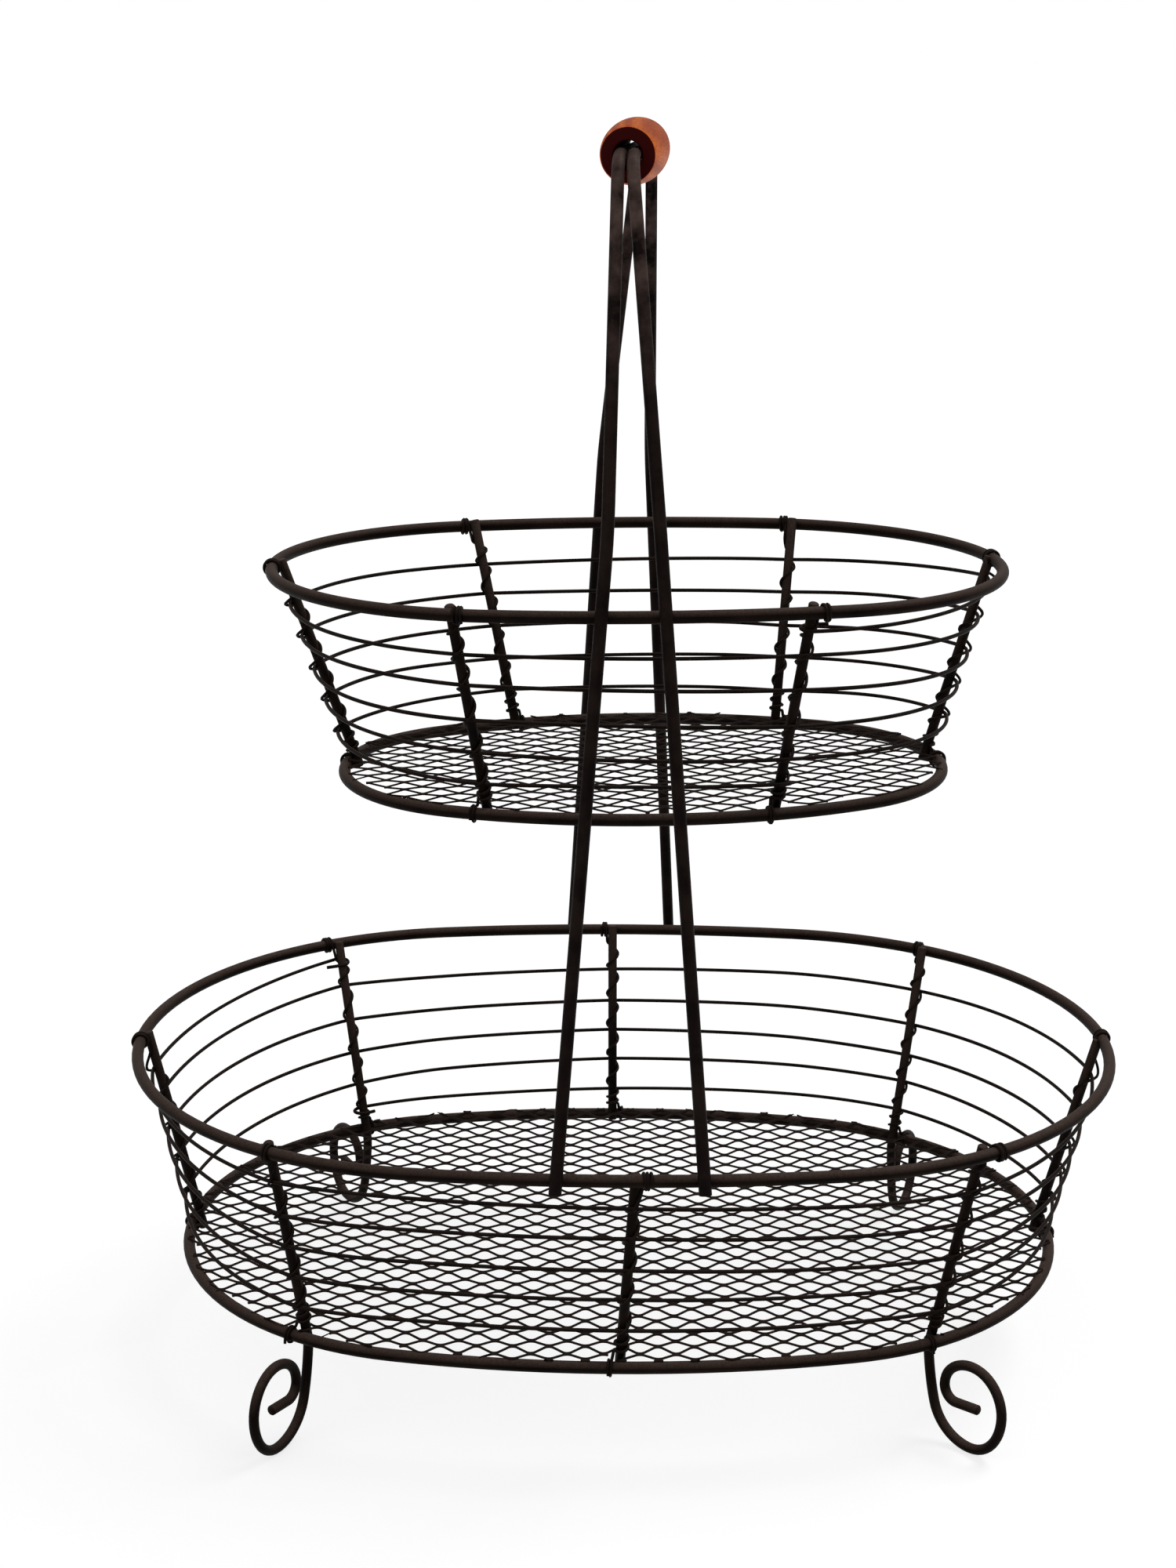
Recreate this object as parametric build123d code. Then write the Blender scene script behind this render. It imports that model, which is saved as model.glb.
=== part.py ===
"""Two-tier wire basket with a turned wooden carrying grip.

Two oval baskets stand one above the other on a pair of hairpin handle wires.
Each basket is a thick rim and a base ring, held apart by leaning ribs, with a
floor of expanded metal and one thin wire that winds round the ribs from the
floor to the rim. A fine tie wire runs down every rib and lashes it to each
pass of that winding. The four corner ribs of the lower basket run on below
the base ring as scroll feet. The grip turns freely on the two handle wires.

Frame: millimetres, +Z up, X along the baskets, Y from front to back. The
origin is on the table, under the middle of the lower basket.
"""

import os
from dataclasses import dataclass
from math import asin, atan2, copysign, cos, degrees, dist, pi, radians, sin, sqrt

from build123d import *

os.makedirs("parts", exist_ok=True)

# Wire diameters
rim_wire = 4.8
handle_wire = 4.8
rib_wire = 4.0
weave_wire = 1.4
tie_wire = 0.9

# Clearances left where wires are welded or lashed together
weld_gap = 0.35
weave_gap = 0.3
tie_gap = 0.3

# Lower basket, on the centre lines of its rim and base ring
lower_rim_length = 400.0
lower_rim_width = 284.0
lower_end_flare = 19.0
lower_side_flare = 18.5
lower_base_height = 42.0
lower_wall_height = 85.0
lower_rim_round_share = 0.97
lower_base_round_share = 0.945
lower_base_shift = -1.2

# Upper basket, which sits a little turned and off centre on the handle wires
upper_rim_length = 288.0
upper_rim_width = 199.0
upper_end_flare = 23.5
upper_side_flare = 21.5
tier_gap = 118.0
upper_wall_height = 82.0
upper_rim_round_share = 0.955
upper_base_round_share = 0.85
upper_base_shift = 3.3
upper_shift = 4.3
upper_turn = 5.0

# Ribs: which way the wall faces at their foot and at their top, in degrees
# from the right end
lower_rib_facings = {
    "right": (0.0, 0.0),
    "back_right": (56.1, 56.1),
    "back": (90.2, 90.3),
    "back_left": (117.0, 121.4),
    "left": (180.0, 180.0),
    "front_left": (238.8, 237.4),
    "front": (269.9, 270.4),
    "front_right": (300.1, 302.6),
}
upper_rib_facings = {
    "right": (5.0, 5.0),
    "back_right": (70.9, 73.6),
    "back_left": (104.3, 100.0),
    "left": (170.0, 175.0),
    "front_left": (249.9, 251.8),
    "front_right": (282.8, 279.0),
}
rib_top_stand = 1.4
rib_foot_stand = 1.0

# Scroll feet: the upright plane that each one is bent in, in degrees
foot_plane_angles = {
    "back_right": 66.0,
    "back_left": 122.0,
    "front_left": 240.0,
    "front_right": 315.0,
}
scroll_reach = 35.0
scroll_widest_drop = 22.0
scroll_low_out = 20.5
scroll_top_out = 20.5
scroll_top_drop = 5.7
scroll_close_out = 7.7
scroll_close_drop = 17.2
stem_straight_drop = 1.0
stem_bend_out = -0.6
stem_bend_drop = 7.0
stem_bend_slope = 84.0
stem_low_out = 3.1
stem_low_drop = 26.8
stem_low_slope = 74.0
tail_bend_out = 13.6
tail_bend_drop = 23.3
tail_length = 10.6
tail_slope = -4.0

# Winding of each basket: its height above the base ring at its start, and
# how far below the rim it would come round once more after its last turn
weave_turns = 5
lower_weave_start = 8.0
lower_weave_end_drop = 7.5
upper_weave_start = 9.0
upper_weave_end_drop = 6.0
weave_tail = 6.0
weave_stop = 4.4

# Tie wires: loops on the rim beside the rib, then a helix down the rib
rim_loop_turns = 1.25
rim_loop_pitch = 1.5
rim_loop_stand = 3.8
tie_start_drop = 5.2
tie_floor_stand = 0.5
spare_turn_share = 0.15

# Floor of expanded metal, drawn with about twice the real opening size
mesh_long_pitch = 26.5
mesh_short_pitch = 20.0
mesh_bond = 5.0
mesh_bond_width = 1.6
mesh_flat = 1.6
mesh_thickness = 1.0
mesh_seat_gap = 0.1
mesh_border = 2.6
mesh_rib_gap = 0.6
mesh_rib_pad = 1.5
least_opening_share = 0.12

# Handle wires and grip
handle_front_spread = 54.0
handle_back_spread = 45.0
handle_rim_spread = 23.4
handle_shift = 0.8
handle_end_drop = 3.0
handle_knee_rise = 30.0
handle_knee_radius = 150.0
handle_top_radius = 14.0
handle_top_reach = 12.5
wire_pair_gap = 0.2
grip_length = 84.0
grip_middle_diameter = 24.6
grip_end_diameter = 20.4
grip_bore = 10.6
grip_edge_round = 0.8
grip_rise = 159.4
grip_shift = 1.8
grip_turn = -5.0

# Sizes that follow from the ones above
rim_radius = rim_wire / 2
handle_radius = handle_wire / 2
rib_radius = rib_wire / 2
weave_radius = weave_wire / 2
tie_radius = tie_wire / 2
rib_inset = rim_radius + rib_radius + weld_gap
weave_stand = rib_radius + weave_radius + weave_gap
weave_inset = rib_inset - weave_stand
tie_inner_reach = rib_radius + tie_radius + tie_gap
lower_rim_height = lower_base_height + lower_wall_height
upper_base_height = lower_rim_height + tier_gap
upper_rim_height = upper_base_height + upper_wall_height
lower_base_length = lower_rim_length - 2 * lower_end_flare
lower_base_width = lower_rim_width - 2 * lower_side_flare
upper_base_length = upper_rim_length - 2 * upper_end_flare
upper_base_width = upper_rim_width - 2 * upper_side_flare
step_angle = 0.05
up = Vector(0, 0, 1)


def heading(degrees_round, degrees_down=0.0):
    """Unit vector that points one way round, and downward by a slope."""
    level, steep = cos(radians(degrees_down)), sin(radians(degrees_down))
    turn = radians(degrees_round)
    return Vector(level * cos(turn), level * sin(turn), -steep)


@dataclass
class Oval:
    """Oval of four arcs: half its length, half its width and the radius of its ends."""

    half_length: float
    half_width: float
    end_radius: float

    @property
    def side_radius(self):
        run = self.half_length - self.end_radius
        rise = self.half_width**2 - self.end_radius**2
        return (run**2 + rise) / (2 * (self.half_width - self.end_radius))

    @property
    def end_centre(self):
        return self.half_length - self.end_radius

    @property
    def side_centre(self):
        return self.side_radius - self.half_width

    @property
    def join_slope(self):
        """Direction in degrees, from a side arc's centre, of the join with an end arc."""
        return degrees(asin(self.side_centre / (self.side_radius - self.end_radius)))

    def arc(self, facing):
        """Centre and radius of the arc that faces one direction, in degrees."""
        along, across = cos(radians(facing)), sin(radians(facing))
        if abs(across) > sin(radians(self.join_slope)):
            return Vector(0, -copysign(self.side_centre, across)), self.side_radius
        return Vector(copysign(self.end_centre, along), 0), self.end_radius

    def point(self, facing):
        centre, radius = self.arc(facing)
        return centre + heading(facing) * radius

    def grown(self, by):
        return Oval(self.half_length + by, self.half_width + by, self.end_radius + by)

    def holds(self, x, y):
        """Whether a place is inside all four arcs, as every place inside the oval is."""
        x, y = abs(x), abs(y)
        in_side = sqrt(x**2 + (y + self.side_centre) ** 2) < self.side_radius
        slope = degrees(atan2(y, x - self.end_centre))
        in_end = sqrt((x - self.end_centre) ** 2 + y**2) < self.end_radius
        return in_side and (in_end or slope > self.join_slope)

    def wire(self):
        """Closed outline in the XY plane."""
        slope = self.join_slope
        end_sweep, side_sweep = 2 * slope, 2 * (90 - slope)
        ends, sides = self.end_centre, self.side_centre
        return Wire(
            [
                CenterArc((ends, 0), self.end_radius, -slope, end_sweep).edge(),
                CenterArc((0, -sides), self.side_radius, slope, side_sweep).edge(),
                CenterArc((-ends, 0), self.end_radius, 180 - slope, end_sweep).edge(),
                CenterArc((0, sides), self.side_radius, 180 + slope, side_sweep).edge(),
            ]
        )


@dataclass
class Basket:
    """One tier: its two ovals, their heights, its ribs and its winding."""

    name: str
    base: Oval
    base_height: float
    base_shift: float
    rim: Oval
    rim_height: float
    shift: float
    turn: float
    rib_facings: dict
    weave_start: float
    weave_end_drop: float
    weave_rib: str

    def rim_place(self):
        return Pos(self.shift, 0, 0) * Rot(0, 0, self.turn)

    def base_place(self):
        return self.rim_place() * Pos(self.base_shift, 0, 0)

    def share(self, height):
        """How far up the wall a height is, from 0 at the base ring to 1 at the rim."""
        return (height - self.base_height) / (self.rim_height - self.base_height)

    def wall_point(self, facing, height, inset=0.0):
        """Point on the leaning wall where it faces one way, or a distance inside it."""
        share = self.share(height)
        low, high = self.base.point(facing), self.rim.point(facing)
        low += Vector(self.base_shift, 0, 0)
        spot = low * (1 - share) + high * share - heading(facing) * inset
        return spot.rotate(Axis.Z, self.turn) + Vector(self.shift, 0, height)

    def out(self, facing):
        return heading(facing + self.turn)

    def facing_at(self, facings, height):
        """Which way the wall faces where a rib passes a height."""
        share = self.share(height)
        return facings[0] * (1 - share) + facings[1] * share

    def rib_line(self, facings):
        """Where a rib passes the base ring and the rim, on their inner side."""
        low = self.wall_point(facings[0], self.base_height, rib_inset)
        return low, self.wall_point(facings[1], self.rim_height, rib_inset)

    def rib_at(self, facings, height):
        low, high = self.rib_line(facings)
        return low + (high - low) * self.share(height)

    def lead(self, facing):
        """How far the facing runs ahead of the direction seen from the middle."""
        spot = self.base.point(facing) + self.rim.point(facing)
        return (facing - degrees(atan2(spot.Y, spot.X)) + 180) % 360 - 180

    @property
    def weave_begin(self):
        return self.rib_facings[self.weave_rib][0]

    @property
    def weave_pitch(self):
        wall = self.rim_height - self.base_height
        return (wall - self.weave_start - self.weave_end_drop) / weave_turns

    def weave_height(self, travelled):
        """Height of the winding after some degrees of facing, clockwise from its rib."""
        begin = self.weave_begin
        seen = travelled + self.lead(begin - travelled) - self.lead(begin)
        return self.base_height + self.weave_start + self.weave_pitch * seen / 360

    def row_height(self, facings, row):
        """Height at which the winding passes a rib, with its passes counted from 0."""
        travelled = (self.weave_begin - facings[0]) % 360 + 360 * row
        facing = self.facing_at(facings, self.weave_height(travelled))
        return self.weave_height(travelled + facings[0] - facing)

    def winding_stand(self, facings, height):
        """How far the winding's line stands outside a rib's axis."""
        facing = self.facing_at(facings, height)
        line = self.wall_point(facing, height, weave_inset)
        return (line - self.rib_at(facings, height)).dot(self.out(facing))


def half_oval(length, width, round_share):
    return Oval(length / 2, width / 2, round_share * width / 2)


lower = Basket(
    "lower",
    half_oval(lower_base_length, lower_base_width, lower_base_round_share),
    lower_base_height,
    lower_base_shift,
    half_oval(lower_rim_length, lower_rim_width, lower_rim_round_share),
    lower_rim_height,
    0.0,
    0.0,
    lower_rib_facings,
    lower_weave_start,
    lower_weave_end_drop,
    "back_left",
)
upper = Basket(
    "upper",
    half_oval(upper_base_length, upper_base_width, upper_base_round_share),
    upper_base_height,
    upper_base_shift,
    half_oval(upper_rim_length, upper_rim_width, upper_rim_round_share),
    upper_rim_height,
    upper_shift,
    upper_turn,
    upper_rib_facings,
    upper_weave_start,
    upper_weave_end_drop,
    "front_right",
)


def save(shape, name):
    shape.label = name
    export_step(shape, f"parts/{name}.step")


def tangent_edge(start, course, end):
    """Arc from start to end that leaves along a course, or a line where it is straight."""
    chord = end - start
    if course.cross(chord.normalized()).length < 1e-5:
        return Edge.make_line(start, end)
    return Edge.make_tangent_arc(start, course, end)


def biarc(start, start_course, end, end_course):
    """Two arcs that meet smoothly and keep the courses at both ends."""
    chord = end - start
    lean = chord.dot(start_course + end_course)
    turn = 2 * (1 - start_course.dot(end_course))
    if turn < 1e-9:
        arm = chord.dot(chord) / (2 * lean)
    else:
        arm = (sqrt(lean**2 + turn * chord.dot(chord)) - lean) / turn
    start_arm = start + start_course * arm
    end_arm = end - end_course * arm
    middle = (start_arm + end_arm) * 0.5
    middle_course = (end_arm - start_arm).normalized()
    return [
        tangent_edge(start, start_course, middle),
        tangent_edge(middle, middle_course, end),
    ]


def bent_wire(stations, radius):
    """Round wire through stations, which are points with the wire's course there."""
    edges = []
    for (start, start_course), (end, end_course) in zip(stations, stations[1:]):
        edges += biarc(start, start_course, end, end_course)
    section = Plane(origin=stations[0][0], z_dir=stations[0][1]) * Circle(radius)
    return sweep(section, path=Wire(edges)), edges


def least_gap(edges, diameter, skip):
    """Least gap of a wire to itself, between points more than skip apart along it."""
    places, travelled = [], 0.0
    for edge in edges:
        count = int(edge.length / diameter) + 1
        for i in range(count):
            spot = edge @ (i / count)
            places.append((travelled + edge.length * i / count, (spot.X, spot.Y, spot.Z)))
        travelled += edge.length
    least = min(
        dist(place, other)
        for i, (far, place) in enumerate(places)
        for further, other in places[i + 1 :]
        if further - far > skip and abs(other[2] - place[2]) < skip
    )
    return least - diameter


def ring(oval, height, place):
    path = Pos(0, 0, height) * oval.wire()
    section = Plane(origin=path @ 0, z_dir=path % 0) * Circle(rim_radius)
    return place * sweep(section, path=path)


def straight_rib(basket, facings):
    low, high = basket.rib_line(facings)
    rise = (high - low).normalized()
    foot = low - rise * rib_foot_stand
    length = (high - foot).length + rim_radius + rib_top_stand
    return Plane(origin=foot, z_dir=rise) * Cylinder(
        rib_radius, length, align=(Align.CENTER, Align.CENTER, Align.MIN)
    )


def foot_rib(basket, facings, plane_angle):
    """Corner rib that runs on below the base ring and curls outward into a scroll."""
    low, high = basket.rib_line(facings)
    lean = (low - high).normalized()
    top = high - lean * (rim_radius + rib_top_stand)
    out = heading(plane_angle)

    def spot(outward, drop):
        return low + out * outward - up * drop

    def slope(degrees_down):
        return heading(plane_angle, degrees_down)

    bottom_drop = basket.base_height - rib_radius
    tail = spot(tail_bend_out, tail_bend_drop)
    tail_course = slope(tail_slope)
    stations = [
        (top, lean),
        (low + lean * stem_straight_drop, lean),
        (spot(stem_bend_out, stem_bend_drop), slope(stem_bend_slope)),
        (spot(stem_low_out, stem_low_drop), slope(stem_low_slope)),
        (spot(scroll_low_out, bottom_drop), out),
        (spot(scroll_reach, scroll_widest_drop), up),
        (spot(scroll_top_out, scroll_top_drop), -out),
        (spot(scroll_close_out, scroll_close_drop), -up),
        (tail, tail_course),
        (tail + tail_course * tail_length, tail_course),
    ]
    return bent_wire(stations, rib_radius)


def weave(basket):
    """Thin wire that winds clockwise round the outside of the ribs, rising all the way."""
    begin = basket.weave_begin
    facings = basket.rib_facings[basket.weave_rib]
    end = basket.facing_at(facings, basket.rim_height - basket.weave_end_drop)

    def point(travelled):
        return basket.wall_point(begin - travelled, basket.weave_height(travelled), weave_inset)

    def course(travelled):
        return (point(travelled + step_angle) - point(travelled - step_angle)).normalized()

    first = -degrees(weave_tail / basket.base.arc(begin)[1])
    last = 360 * weave_turns + begin - end - degrees(weave_stop / basket.rim.arc(end)[1])
    joins = (basket.base.join_slope, basket.rim.join_slope)
    marks = [0, 90, 180, 270]
    marks += [half + side * join for half in (0, 180) for side in (-1, 1) for join in joins]
    passed = sorted((begin - m) % 360 + 360 * t for m in marks for t in range(weave_turns))
    travels = [first] + [p for p in passed if p < last] + [last]
    return bent_wire([(point(p), course(p)) for p in travels], weave_radius)


def tie(basket, facings):
    """Fine wire, looped on the rim beside a rib and then wound down the rib."""
    low, high = basket.rib_line(facings)
    rise = (high - low).normalized()
    out = basket.out((facings[0] + facings[1]) / 2)
    rib_out = (out - rise * out.dot(rise)).normalized()
    rib_along = rise.cross(rib_out)
    rows = [basket.row_height(facings, row) for row in range(weave_turns)]
    stand = max(basket.winding_stand(facings, height) for height in rows)
    outer_reach = stand + weave_radius + tie_radius + tie_gap
    first_row, last_row = rows[0] - stand * rib_out.Z, rows[-1] - stand * rib_out.Z
    pitch = (last_row - first_row) / (weave_turns - 1)
    top = basket.rim_height - tie_start_drop
    floor_top = basket.base_height + rim_radius + mesh_seat_gap + mesh_thickness
    bottom = floor_top + tie_radius + tie_floor_stand - outer_reach * rib_out.Z
    top_turns = 0.25 + int((top - last_row) / pitch + spare_turn_share)
    shift = (outer_reach - tie_inner_reach) / 2
    depth = (outer_reach + tie_inner_reach) / 2
    breadth = tie_inner_reach / sqrt(1 - (shift / depth) ** 2)

    def height_at(turns):
        """Height after some turns down from the last pass of the winding."""
        if turns < 0:
            return last_row + (top - last_row) * (turns / -top_turns)
        return last_row - pitch * turns

    def helix_point(turns):
        phase = 2 * pi * turns
        centre = basket.rib_at(facings, height_at(turns))
        beside = rib_along * (breadth * sin(phase))
        return centre + rib_out * (shift + depth * cos(phase)) - beside

    rim_out = basket.out(facings[1])
    along = up.cross(rim_out)
    rim_point = basket.wall_point(facings[1], basket.rim_height)
    loop_radius = rim_radius + tie_radius + weld_gap

    def loop_point(turns):
        """Loops end on the inner side of the rim, going down."""
        phase = 2 * pi * turns
        run = along * (rim_loop_stand - rim_loop_pitch * turns)
        inward = rim_out * (loop_radius * cos(phase))
        return rim_point + run - inward - up * (loop_radius * sin(phase))

    def stations(point, first, last, count):
        steps = [first + (last - first) * i / count for i in range(count + 1)]
        small = step_angle / 10
        return [(point(s), (point(s + small) - point(s - small)).normalized()) for s in steps]

    end = (last_row - bottom) / pitch
    loops = stations(loop_point, -rim_loop_turns, 0, round(4 * rim_loop_turns))
    above = stations(helix_point, -top_turns, 0, round(4 * top_turns))
    below = stations(helix_point, 0, end, round(4 * end))
    body, edges = bent_wire(loops + above + below[1:], tie_radius)
    return body, edges, rim_loop_turns + top_turns + end


def floor_mesh(basket):
    """Flat net on top of the base ring, with a hole for each rib that passes it."""
    outline = basket.base
    field = outline.grown(-mesh_border)
    field_face = Face(field.wire())
    seat = basket.base_height + rim_radius + mesh_seat_gap
    back = basket.base_place().inverse()
    ribs = [
        back * Pos(basket.rib_at(facings, seat + mesh_thickness / 2))
        for facings in basket.rib_facings.values()
    ]
    rib_places = [(place.position.X, place.position.Y) for place in ribs]
    pad_radius = rib_radius + mesh_rib_gap + mesh_rib_pad
    pads = [Pos(x, y, 0) * Circle(pad_radius) for x, y in rib_places]

    half_long = (mesh_long_pitch - mesh_bond) / 2
    half_short = (mesh_short_pitch - mesh_bond_width) / 2
    half_flat = mesh_flat / 2
    corners = [
        (half_long, 0),
        (half_flat, half_short),
        (-half_flat, half_short),
        (-half_long, 0),
        (-half_flat, -half_short),
        (half_flat, -half_short),
    ]
    whole_area = Face(Wire.make_polygon([Vector(x, y) for x, y in corners])).area

    def near_rib(x, y):
        return any(
            sqrt((x - rx) ** 2 + (y - ry) ** 2) < pad_radius + half_long for rx, ry in rib_places
        )

    holes = [Pos(x, y, 0) * Wire.make_circle(rib_radius + mesh_rib_gap) for x, y in rib_places]
    rows = int(2 * outline.half_width / mesh_short_pitch) + 1
    columns = int(outline.half_length / mesh_long_pitch) + 1
    for row in range(-rows, rows + 1):
        y = row * mesh_short_pitch / 2
        for column in range(-columns, columns + 1):
            x = (column + row % 2 / 2) * mesh_long_pitch
            places = [(x + dx, y + dy) for dx, dy in corners]
            inside = [field.holds(*place) for place in places]
            if not any(inside):
                continue
            hexagon = Wire.make_polygon([Vector(*place) for place in places])
            if all(inside) and not near_rib(x, y):
                holes.append(hexagon)
                continue
            left = Sketch() + (Face(hexagon) & field_face)
            if near_rib(x, y):
                left -= pads
            for face in left.faces():
                if face.area > least_opening_share * whole_area:
                    holes.append(face.outer_wire())
    net = extrude(Face(outline.wire(), holes), amount=mesh_thickness, dir=(0, 0, 1))
    print(basket.name, "floor openings", len(holes) - len(rib_places))
    return basket.base_place() * Pos(0, 0, seat) * net


def weld_point(basket, x, side):
    """Where a handle wire leans on the rim: side is -1 in front and 1 behind."""
    rim = basket.rim.grown(rim_radius + handle_radius + weld_gap)
    turn = radians(basket.turn)
    centre_x = basket.shift + side * rim.side_centre * sin(turn)
    centre_y = -side * rim.side_centre * cos(turn)
    y = centre_y + side * sqrt(rim.side_radius**2 - (x - centre_x) ** 2)
    return Vector(x, y, basket.rim_height)


grip_axis = heading(90 + grip_turn)
grip_centre = Vector(grip_shift, 0, upper_rim_height + grip_rise)


def handle_wire_path(hand):
    """Hairpin from the lower rim in front, through the grip, to the lower rim behind."""
    ends, knees = [], []
    for side, spread in ((-1, handle_front_spread), (1, handle_back_spread)):
        low = weld_point(lower, handle_shift + hand * spread / 2, side)
        high = weld_point(upper, handle_shift + hand * handle_rim_spread / 2, side)
        rise = (high - low) / (high.Z - low.Z)
        ends.append(low - rise * handle_end_drop)
        knees.append(high + rise * handle_knee_rise)
    beside = grip_axis.cross(up) * (hand * (handle_radius + wire_pair_gap / 2))
    reach = grip_axis * (grip_length / 2 + handle_top_reach)
    tops = [grip_centre + beside - reach, grip_centre + beside + reach]
    radii = [handle_knee_radius, handle_top_radius, handle_top_radius, handle_knee_radius]
    return FilletPolyline(ends[0], knees[0], *tops, knees[1], ends[1], radius=radii)


def handle_wire_body(hand):
    path = handle_wire_path(hand)
    section = Plane(origin=path @ 0, z_dir=path % 0) * Circle(handle_radius)
    return sweep(section, path=path)


def grip():
    """Turned barrel with a bore along its middle."""
    half = grip_length / 2
    end_radius = grip_end_diameter / 2
    crown = ThreePointArc(
        (end_radius, -half), (grip_middle_diameter / 2, 0), (end_radius, half)
    )
    sides = Polyline(
        (end_radius, half), (grip_bore / 2, half), (grip_bore / 2, -half), (end_radius, -half)
    )
    profile = Plane.XZ * make_face([crown, sides])
    barrel = revolve(profile, Axis.Z)
    rims = barrel.edges().filter_by(GeomType.CIRCLE).sort_by(SortBy.RADIUS)[-2:]
    barrel = fillet(rims, grip_edge_round)
    return Plane(origin=grip_centre, z_dir=grip_axis) * barrel


curls = 0.0
for basket in (lower, upper):
    name = basket.name
    save(ring(basket.rim, basket.rim_height, basket.rim_place()), f"{name}_rim")
    save(ring(basket.base, basket.base_height, basket.base_place()), f"{name}_base_ring")
    save(floor_mesh(basket), f"{name}_floor_mesh")
    winding, edges = weave(basket)
    save(winding, f"{name}_weave_wire")
    gap = least_gap(edges, weave_wire, 2 * basket.weave_pitch)
    print(name, "weave wire: turns", weave_turns, "least gap", round(gap, 2))
    for place, facings in basket.rib_facings.items():
        if basket is lower and place in foot_plane_angles:
            rib, edges = foot_rib(basket, facings, foot_plane_angles[place])
            gap = least_gap(edges, rib_wire, scroll_close_drop)
            print(name, place, "scroll foot: least gap", round(gap, 2))
        else:
            rib = straight_rib(basket, facings)
        save(rib, f"{name}_rib_{place}")
        lashing, edges, turns = tie(basket, facings)
        curls += turns
        save(lashing, f"{name}_tie_{place}")
        gap = least_gap(edges, tie_wire, rim_loop_stand)
        print(name, place, "tie wire: curls", round(turns, 2), "least gap", round(gap, 2))
print("curls in all", round(curls, 1))
save(handle_wire_body(-1), "handle_wire_left")
save(handle_wire_body(1), "handle_wire_right")
save(grip(), "handle_grip")
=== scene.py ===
from math import asin, atan2, copysign, cos, degrees, floor, pi, radians, sin, sqrt

import bpy
from mathutils import Matrix, Vector
from mathutils.geometry import interpolate_bezier


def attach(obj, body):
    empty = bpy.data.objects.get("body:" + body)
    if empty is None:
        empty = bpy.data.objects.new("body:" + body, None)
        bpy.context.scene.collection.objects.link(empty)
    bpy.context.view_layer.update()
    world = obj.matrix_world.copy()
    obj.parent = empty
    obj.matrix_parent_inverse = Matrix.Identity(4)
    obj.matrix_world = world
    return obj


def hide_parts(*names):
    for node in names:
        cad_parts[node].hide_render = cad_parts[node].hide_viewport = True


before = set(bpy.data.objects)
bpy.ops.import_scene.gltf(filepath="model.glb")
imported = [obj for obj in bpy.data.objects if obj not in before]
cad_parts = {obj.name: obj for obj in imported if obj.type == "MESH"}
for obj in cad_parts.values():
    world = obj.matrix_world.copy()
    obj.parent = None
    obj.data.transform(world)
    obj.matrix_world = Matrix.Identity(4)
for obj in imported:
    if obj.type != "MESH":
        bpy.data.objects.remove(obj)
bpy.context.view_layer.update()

bpy.ops.object.select_all(action="DESELECT")

# All sizes are in millimetres and become metres where a mesh is made.
MM = 0.001
UP = Vector((0, 0, 1))

# Half the thickness of each wire, with its paint
RING_R = 2.4
RIB_R = 2.0
WEAVE_R = 0.77
BINDING_R = 0.62

# The ribs stand this far inside the middle of the wall, and touching wires keep a hair
# between them.
RIB_INSET = 4.75
HAIR = 0.05

# The edge of a cut end is worn round over this length, down to this share of the thickness.
WORN_LENGTH = 0.4
WORN_SHARE = 0.82

# At the tight ends of a basket the springy winding stands this far off the ribs.
END_STAND_OFF = 0.8

# Binding wires: how far they are drawn into the paint of a rib and of the winding, how far
# out from a rib they pass the winding, how far their first turn lies under the rim and their
# last over the base ring, and how many points make a turn
ON_RIB = 0.04
ON_WINDING = 0.12
PASS_OUT = 2.7
FIRST_TURN = 4.4
LAST_TURN = 6.2
TURN_POINTS = 20

# Expanded metal of the floors: the length and width of one opening, and how far the middle
# of the sheet lies above the middle of the base ring
NET_LONG = 13.9
NET_SHORT = 10.4
NET_LIFT = 2.55

# Strands sink into each other a little where they meet, their crests stand up, and the sheet
# is rolled flatter.
NET_MEET = 0.93
NET_CREST = 0.34
NET_FLAT = 0.72

# Half the thickness of a strand, and the first half of its wave, as shares of a period with
# their heights. The lower net has rounder openings.
NET_STRANDS = {
    "lower": (0.6, [(0, 1), (0.055, 0.95), (0.115, 0.76), (0.385, -0.76), (0.445, -0.95)]),
    "upper": (0.5, [(0, 1), (0.05, 0.88), (0.45, -0.88)]),
}

# The net reaches this far past the middle of the base ring, and is cut this far round a rib.
NET_EDGE = 0.9
NET_NOTCH = 0.5

# Grip
GRIP_CENTRE = Vector((1.8, 0, 486.4))
GRIP_TURN = radians(-5)
GRIP_TILT = radians(0.45)
GRIP_HALF = 42
GRIP_BORE = 5.3

# The handle has a painted highlight from the first height up, strongest from the second up.
HIGHLIGHT_FROM = 400
HIGHLIGHT_FULL = 475

# Points of a wire or a net that are nearer than this are one, and a bend flatter than this
# is shaded as a smooth one.
ONE_POINT = 0.002
SMOOTH_BEND = radians(50)


# Shape of the two baskets

def heading(facing):
    return Vector((cos(radians(facing)), sin(radians(facing)), 0))


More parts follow.
